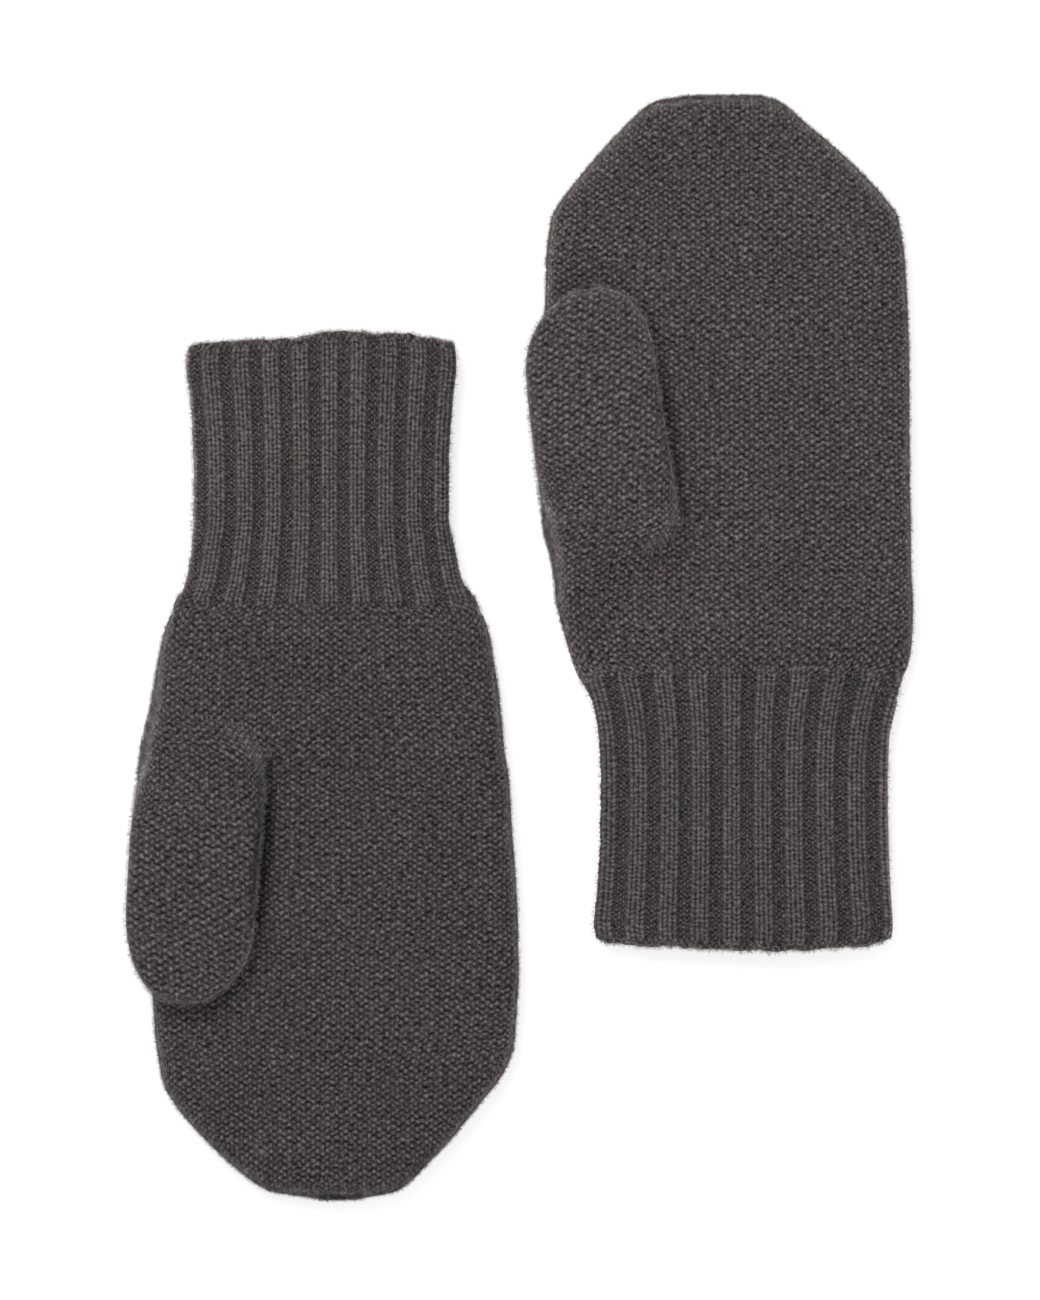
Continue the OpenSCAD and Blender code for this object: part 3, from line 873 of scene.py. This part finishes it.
def rib_wales(share):
    """Wale number at a share of the ring: knit wales are wide and purl wales narrow, drawn in."""
    ribs = (share + 0.0065 * np.sin(2 * np.pi * share)) * RIBS + KNIT_SHARE / 2
    whole, part = np.floor(ribs), ribs - np.floor(ribs)
    knit = part / KNIT_SHARE * 2
    purl = 2 + (part - KNIT_SHARE) / (1 - KNIT_SHARE) * 2
    return whole * WALES_PER_RIB + np.where(part < KNIT_SHARE, knit, purl)


RIDGE = 1.05  # how far a rib stands over, and the fabric between ribs lies under, the mean


def rib_ridge(w):
    """1 on the middle of a rib and -1 between two ribs."""
    ridge = np.cos((w % WALES_PER_RIB - 1) / WALES_PER_RIB * 2 * np.pi)
    return np.sign(ridge) * np.abs(ridge) ** 0.7


def build_cuff(m):
    y0, y1 = CUFF_START, m.rib_end + 1.4
    rows = int(round((y1 - y0) / RIB_COURSE)) * STEPS_C
    count = CUFF_WALES * STEPS_W
    ys = np.linspace(y0, y1, rows + 1)
    form = np.empty((rows + 1, count, 3))
    for j, y in enumerate(ys):
        x, z, share = cuff_ring(m, y, count)
        form[j] = stack(x * (1 - 0.03 * smooth((y - m.rib_end + 3) / 3)), y, z)
    form[..., 1] += bow_of(m, form[..., 0], form[..., 1])
    w, c = rib_wales(share)[None], (ys / RIB_COURSE)[:, None]
    c = c + 0.12 * soft_noise(w * 0.9, c * 0.9, m.seed + 31) + 0.3 * soft_noise(w * 0.2, c * 0.1, m.seed + 32)
    phase = w % WALES_PER_RIB
    h = np.where(phase < 2, knit_height(phase, c), PURL_IN_RIB * purl_height(phase, c))
    ridge = rib_ridge(w)
    lift = RIDGE * ridge * (1 - 0.5 * smooth((ys - m.rib_end + 6) / 7))[:, None]
    lift += 0.35 * soft_noise(w / 3.0, c / 12.0, m.seed + 33)
    half = (np.max(form[..., 0], axis=1) - np.min(form[..., 0], axis=1))[:, None] / 2
    corner = smooth((np.abs(form[..., 0]) / half - 0.86) / 0.12) * smooth((ys - m.rib_end + 10) / 7)[:, None]
    lift += (0.9 - lift) * corner
    h = h * plump(w, c, m.seed + 9)
    # Painted light and shade on the ribs: the ribs are painted darker and the fabric between them paler, to
    # offset how the light falls on them. The cuff's tone is painted light as well, and the noise is the
    # yarn's own uneven tone.
    tone = m.cuff["tone"] - 0.075 * ridge + 0.06 * soft_noise(w / 4.0, c / 30.0, m.seed + 34)
    return knitted(m, "cuff_tube", ["cuff"], form, h, w, c, RIB_RELIEF, RIB_WOOL, closed=True,
                   turns=CUFF_WALES, lining=RIB_T, lift=lift, tone=tone, rims=False)


def bow_of(m, x, y):
    """How far in the opening's edge lies at x: it is not quite straight."""
    return curve(m.cuff["mouth"], x) * (1 - smooth(y / 34))


def build_cast_on(m):
    """The firm first courses, rolled round the opening's edge."""
    count = CUFF_WALES * STEPS_W
    x, z, share = cuff_ring(m, CUFF_START, count)
    line = stack(x, CUFF_START, z)[None]
    pair = np.concatenate([line, line + [0, 0.5, 0]])
    normal = grid_normals(pair, True)[0]
    w = rib_wales(share)
    sweep = np.linspace(-0.15, 1.15, 17)
    thick = RIB_T + 0.2
    rough = 0.45 * soft_noise(w / 1.1, w * 0, m.seed + 61) + 0.35 * soft_noise(w / 3.5, w * 0, m.seed + 62)
    form = np.empty((len(sweep), count, 3))
    for k, s in enumerate(sweep):
        a = s * np.pi
        out = RIDGE * rib_ridge(w) * (1 - np.clip(s, 0, 1)) + thick / 2 * math.cos(a) - thick / 2 + 0.25
        form[k] = line[0] + normal * out[:, None]
        form[k, :, 1] += bow_of(m, x, CUFF_START) - (1.5 + rough) * math.sin(a)
    form = form[::-1]
    across = np.abs(np.linspace(-1, 1, len(sweep)))[:, None]
    h = 1 - 0.5 * apart(w) ** 2 - 0.4 * across**4
    return knitted(m, "cast_on_band", ["cast_on_edge"], form, h, w, (sweep * 1.6)[:, None], BAND_RELIEF,
                   WOOL, closed=True, turns=CUFF_WALES, lining=BAND_T)


# ---- yarn

SEAM_PAINTED_LIGHT = 2.4  # painted light: a seam's yarn is painted 2.4 times paler than the fabric, to stand out of the shade at the edge
YARN_TURN = 1.5  # how far a strand goes in one turn round its yarn
THUMB_SEAM = 0.55  # where the thumb's seam is, as a share of the way round from its outer edge
TAIL_LIFT = 0.7  # how far the darned-in tail lies over its solid's middle, on the lining


def yarn_arrays(line, radius, sides=6):
    """Rings of points round a yarn that follows a line of points, and the distance to each ring."""
    line = np.asarray(line, float)
    tangent = unit(np.gradient(line, axis=0))
    up = np.where(np.abs(tangent[:, 2:3]) > 0.9, [[1.0, 0, 0]], [[0, 0, 1.0]])
    a = unit(np.cross(tangent, up))
    b = np.cross(tangent, a)
    turn = np.linspace(0, 2 * np.pi, sides, endpoint=False)
    ends = rounded(np.minimum(np.arange(len(line)), np.arange(len(line))[::-1]) / 1.5 + 0.05)
    ring = np.cos(turn)[None, :, None] * a[:, None] + np.sin(turn)[None, :, None] * b[:, None]
    points = line[:, None] + ring * (radius * ends)[:, None, None]
    return points, run_along(line)


def build_yarns(m, name, lines, radius, nodes, tone):
    """One piece made of several yarns."""
    all_points, faces, uvs, first = [], [], [], 0
    for line in lines:
        points, run = yarn_arrays(line, radius)
        rows, cols = points.shape[:2]
        w, c = np.broadcast_arrays(np.arange(cols) / cols, (run / YARN_TURN)[:, None])
        quads, uv = grid_part(w, c, True, m.way < 0, first, 1.0)
        faces.append(quads)
        uvs.append(uv)
        all_points.append(points.reshape(-1, 3))
        first += rows * cols
    return make_mesh(m, name, m.to_row(np.concatenate(all_points)), faces, uvs, np.ones(first),
                     np.full(first, tone), YARN, nodes)


def zigzag(path, outward, pitch, swing, out):
    """A linking stitch: a yarn that goes up and down across a seam, a little outside it."""
    run = run_along(path)
    steps = np.arange(0, run[-1], pitch / 6)
    line, away = (stack(*(np.interp(steps, run, values) for values in vectors.T))
                  for vectors in (path, outward))
    away = unit(away)
    wave = steps / pitch * 2 * np.pi
    line = line + away * (out + 0.15 * np.cos(2 * wave))[:, None]
    line[:, 2] += swing * np.sin(wave)
    return line


def side_path(m, side, y0, y1):
    """The seam line up one side of the hand, and the way out from it."""
    y = np.linspace(y0, y1, 400)
    which, out = (0, -1) if side == "index" else (1, 1)
    x = m.sides(y)[which]
    return stack(x, y, SEAM_Z), stack(1, -np.gradient(x, y), 0) * out


def thumb_path(m):
    """The seam line along the thumb's inner edge, just under it, and the way out from it."""
    form, _, _, ys = thumb_grid(m)
    column = int(form.shape[1] * THUMB_SEAM)
    first, last = np.searchsorted(ys[:, 0], (m.crotch + 10, m.thumb_end - 5))
    away = grid_normals(form, True)[first:last, column]
    return form[first:last, column], away * np.sign(away[:, :1])


def seam_lift(m):
    """How far the rib or valley at the cuff's seam stands over the cuff's mean form."""
    x, _, share = cuff_ring(m, 45.0, 1200)
    return RIDGE * float(rib_ridge(rib_wales(share))[np.argmax(x)])


def build_seams(m):
    """The linking yarns, each with what it moves with."""
    ends = [side_path(m, side, FOLD_Y, TIP_Y - 0.5) for side in ("index", "little")]
    tip_path = [np.concatenate([up, down[::-1]]) for up, down in zip(*ends)]
    y = np.linspace(2, CUFF_L - 6, 300)
    cuff_path = stack(curve(m.cuff["little"], y) + seam_lift(m), y, SEAM_Z), np.tile([1.0, 0, 0], (300, 1))
    hand = 2.1, 0.8, 0.05, 0.42, SEAM_PAINTED_LIGHT
    for name, node, kind, path, (pitch, swing, out, radius, tone) in (
            ("index", "index_side_seam", "palm", side_path(m, "index", CUFF_L, FOLD_Y), hand),
            ("little", "little_side_seam", "palm", side_path(m, "little", CUFF_L, FOLD_Y), hand),
            ("tip", "fingertip_seam", "hand", tip_path, hand),
            ("cuff", "cuff_seam", "cuff_tube", cuff_path, (1.6, 0.7, 0.1, 0.38, SEAM_PAINTED_LIGHT)),
            ("thumb", "thumb_seam", "thumb_tube", thumb_path(m), (2.1, 0.6, 0.05, 0.4, 1.5))):
        line = zigzag(*path, pitch, swing, out)
        yield build_yarns(m, name + "_linking", [line], radius, [node], tone), kind


def build_small_yarns(m):
    """The crotch stitch, the gathered thumb tip and the darned-in tail."""
    t = np.linspace(0, 1, 14)
    y = m.crotch - 2.1 + 3.4 * t
    strands = []
    for k in range(3):
        x = m.thumb["angle"] + (k - 1) * 0.85
        z = palm_z(m, x, y, *m.sides(y), 1, 1) + 0.9 + 0.4 * np.sin(t * np.pi)
        strands.append(stack(x + 0.25 * np.sin(t * 3 + k), y, z))
    yield build_yarns(m, "crotch_strands", strands, 0.3, ["crotch_stitch"], 1.15), "palm"

    t = np.linspace(0, 1, 10)
    r = 0.5 + 2.2 * t
    loops = []
    for k in range(7):
        a = math.radians(200 + 20 * k)
        loops.append(stack(m.thumb_x(m.thumb_end) + r * np.cos(a) * 1.6, m.thumb_end - 0.3 - 0.9 * t**2,
                           m.thumb_mid - 0.4 + r * np.sin(a) * 0.9))
    yield build_yarns(m, "tip_gather", loops, 0.36, ["thumb_tip_closure"], 1.3), "thumb"

    low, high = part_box(m.name + "yarn_tail")
    y_low, y_high = sorted(abs(corner.y / MM - m.y0) for corner in (low, high))
    t = np.linspace(0, 1, 90)
    x = (low.x + high.x) / 2 / MM - m.x0 + 0.8 * np.sin(t * 21)
    z = (low.z + high.z) / 2 / MM + TAIL_LIFT + 0.25 * np.cos(t * 43)
    tail = stack(x, y_low + (y_high - y_low) * t, z)
    yield build_yarns(m, "darned_tail", [tail], 0.45, ["yarn_tail"], 1.4), "cuff"


# ---- loose fibres

FIBRE_HALF = 0.028  # half the width of a loose fibre
FIBRE_STEPS = (0.0, 0.33, 0.67, 1.0)  # places along a fibre, and its width there beside its greatest
FIBRE_TAPER = np.array([1.0, 1.0, 0.8, 0.25])


def scatter(obj, count, rim, rng):
    """Random places and normals on a knitted piece's outer side, more of them where it turns away."""
    vertices, outer = obj.data.vertices, obj["outer_points"]
    co, normal = (np.empty(len(vertices) * 3, np.float32) for _ in range(2))
    vertices.foreach_get("co", co)
    vertices.foreach_get("normal", normal)
    co, normal = co.reshape(-1, 3)[:outer] / MM, normal.reshape(-1, 3)[:outer]
    flat = np.abs(normal[:, 2])
    weight = 1 + rim * (0.15 * smooth((0.8 - flat) / 0.6) + smooth((0.45 - flat) / 0.35))
    pick = rng.choice(outer, count, p=weight / weight.sum())
    return co[pick], normal[pick]


def fibre_lines(root, normal, rng):
    """A short curved line from each root, a little off the fabric."""
    count = len(root)
    side = rng.normal(size=(count, 3))
    side = unit(side - normal * np.sum(side * normal, axis=1, keepdims=True))
    curl = np.cross(normal, side) * rng.uniform(-0.7, 0.7, (count, 1))
    long = rng.uniform(0.8, 2.6, (count, 1))
    out = 1 - np.abs(normal[:, 2:3])
    high = rng.uniform(0.1, 1.0, (count, 1)) ** 2 * (0.6 + out)
    lines = []
    for t in FIBRE_STEPS:
        arch = math.sin(t * np.pi * 0.72)
        lines.append(root + side * long * t * 0.9 + curl * long * 0.45 * t * t
                     + normal * (high * arch - 0.12))
    line = np.stack(lines, axis=1)
    line[..., 2] = np.maximum(line[..., 2], 0.1)
    return line


def build_fibres(m, host, name, count, rim):
    """Loose wool fibres on a knitted piece, each a narrow ribbon of three quads."""
    rng = np.random.default_rng(m.seed + len(name))
    root, normal = scatter(host, count, rim, rng)
    line = fibre_lines(root, normal, rng)
    across = unit(np.cross(np.gradient(line, axis=1), normal[:, None]))
    out = 1 - np.abs(normal[:, 2:3])
    width = FIBRE_HALF * (1 + 0.8 * out[:, None]) * FIBRE_TAPER[None, :, None]
    points = np.stack([line - across * width, line + across * width], axis=2)
    quad = np.array([[0, 1, 3, 2], [2, 3, 5, 4], [4, 5, 7, 6]])
    quads = (np.arange(count)[:, None, None] * 8 + quad).reshape(-1, 4)
    uv = np.repeat(rng.uniform(0, 40, (count, 1, 2)), 12, axis=1).reshape(-1, 4, 2)
    ones = np.ones(count * 8)
    return make_mesh(m, name, points.reshape(-1, 3) * MM, [quads], [uv], ones, ones, FIBRES)


# ---- build

BENDS = {  # pieces that lie across a fold, which are only baked into place: the body beyond it, the fold's x, y and height, its length
    "hand": ("fingers", 0, FOLD_Y, 14, 22),
    "thumb_tube": ("thumb", -40, CROTCH_Y, 20, 18),
    "cuff_tube": ("cuff", 0, CUFF_L, 13, -17),
}


def rides(m, piece, kind):
    """Attach a piece to the body it moves with; a piece that lies across a fold is only baked into place."""
    if kind in BENDS:
        body, x, y, z, length = BENDS[kind]
        tuple(m.to_row([x, y, z]))
        tuple(m.to_row([x, y + length, z]))
        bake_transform(piece)
    else:
        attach(piece, m.name + kind)


def build_mitten(m):
    """Every piece of a mitten, with its number of loose fibres and how many more at rims."""
    for piece, kind, slot, count, rim in (
            (build_hand_front(m), "hand", "knitted_wool", 38000, 45.0),
            (build_hand_back(m), "hand", "knitted_wool", 18000, 45.0),
            (build_thumb(m), "thumb_tube", "knitted_wool", 10000, 12.0),
            (build_cuff(m), "cuff_tube", "ribbed_wool", 18000, 10.0),
            (build_cast_on(m), "cuff", "ribbed_wool", 5000, 1.0)):
        own_name = piece.name[len(m.name):]
        fibres = build_fibres(m, piece, own_name + "_fibres", count, rim)
        for part in (piece, fibres):
            rides(m, part, kind)
        if kind in BENDS:
            width, length, area = piece["flat_size"]
    for piece, kind in (*build_seams(m), *build_small_yarns(m)):
        rides(m, piece, kind)


build_mitten(Mitten("left"))
build_mitten(Mitten("right"))


# ---- floor, light and camera

VIEW_HEIGHT = 0.4095  # how much of the table is in view
CAMERA_HEIGHT = 3.0
VIEW_CENTRE = (-0.0008, -0.0008)
SHARP_HEIGHT = 0.008  # the height over the table at which the view is measured
SENSOR = 36  # the side of the camera's sensor, in millimetres
FLOOR_HALF = 3.0


def add_floor():
    """Pale paper with a little light of its own, so that it stays white."""
    mesh = bpy.data.meshes.new("table_top")
    corners = [(x * FLOOR_HALF, y * FLOOR_HALF, 0) for x, y in ((-1, -1), (1, -1), (1, 1), (-1, 1))]
    mesh.from_pydata(corners, [], [(0, 1, 2, 3)])
    mat = bpy.data.materials.new("white_paper")
    mat.use_nodes = True
    fill(mat.node_tree.nodes["Principled BSDF"], Base_Color=(0.35, 0.35, 0.35, 1), Roughness=1.0,
         Emission_Color=(1, 1, 1, 1), Emission_Strength=0.62)
    mesh.materials.append(mat)
    add_object("table_top", mesh)


def add_area(name, place, size, power):
    """A round soft light that faces the middle of the table."""
    data = bpy.data.lights.new(name, "AREA")
    data.shape, data.size, data.energy = "DISK", size, power
    light = add_object(name, data)
    light.location = place
    light.rotation_euler = (-Vector(place)).to_track_quat("-Z", "Y").to_euler()


def add_camera():
    data = bpy.data.cameras.new("camera")
    data.sensor_width = SENSOR
    data.lens = SENSOR * (CAMERA_HEIGHT - SHARP_HEIGHT) / VIEW_HEIGHT
    data.clip_end = 20
    camera = add_object("camera", data)
    camera.location = (*VIEW_CENTRE, CAMERA_HEIGHT)
    bpy.context.scene.camera = camera


def add_world():
    world = bpy.data.worlds.new("soft_room")
    bpy.context.scene.world = world
    world.use_nodes = True
    fill(world.node_tree.nodes["Background"], Color=(1, 1, 1, 1), Strength=1.25)


add_floor()
add_camera()
add_world()
add_area("softbox_high", (-0.45, 0.75, 1.15), 0.8, 13.6)
bpy.context.scene.view_settings.view_transform = "Standard"
